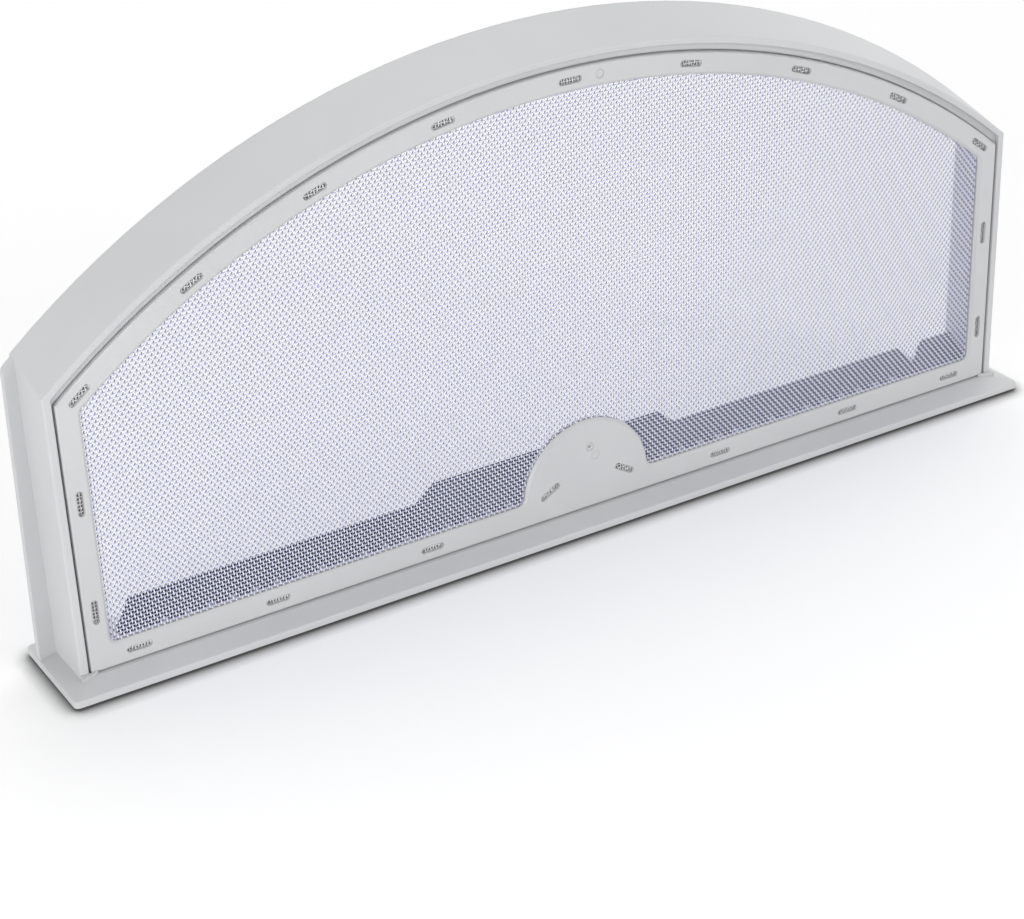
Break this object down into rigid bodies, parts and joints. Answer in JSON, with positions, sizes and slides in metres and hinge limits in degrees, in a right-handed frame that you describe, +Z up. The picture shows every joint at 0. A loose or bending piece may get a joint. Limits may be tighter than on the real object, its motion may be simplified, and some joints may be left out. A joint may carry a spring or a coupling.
{
  "type": "tumble dryer lint filter",
  "caption": "Arched tumble dryer lint filter: moulded plastic housing on a flat base flange, with a framed woven mesh screen set in its front rim and an open back.",
  "frame": {"origin": "centre of the base flange's underside", "axes": "+X along the base to the right as seen from the screen side, +Y from the screen to the open back, +Z up from the base to the arch"},
  "size_m": [0.35, 0.0372, 0.16],
  "materials": {
    "shell_plastic": "satin moulded pale grey",
    "frame_plastic": "satin moulded pale grey",
    "mesh_weave": "white monofilament weave",
    "seal_rubber": "matt near-black"
  },
  "bodies": {
    "root": {"housing": "shell_plastic", "screen_frame": "frame_plastic", "screen_mesh": "mesh_weave", "seal_strip": "seal_rubber"}
  },
  "joints": []
}
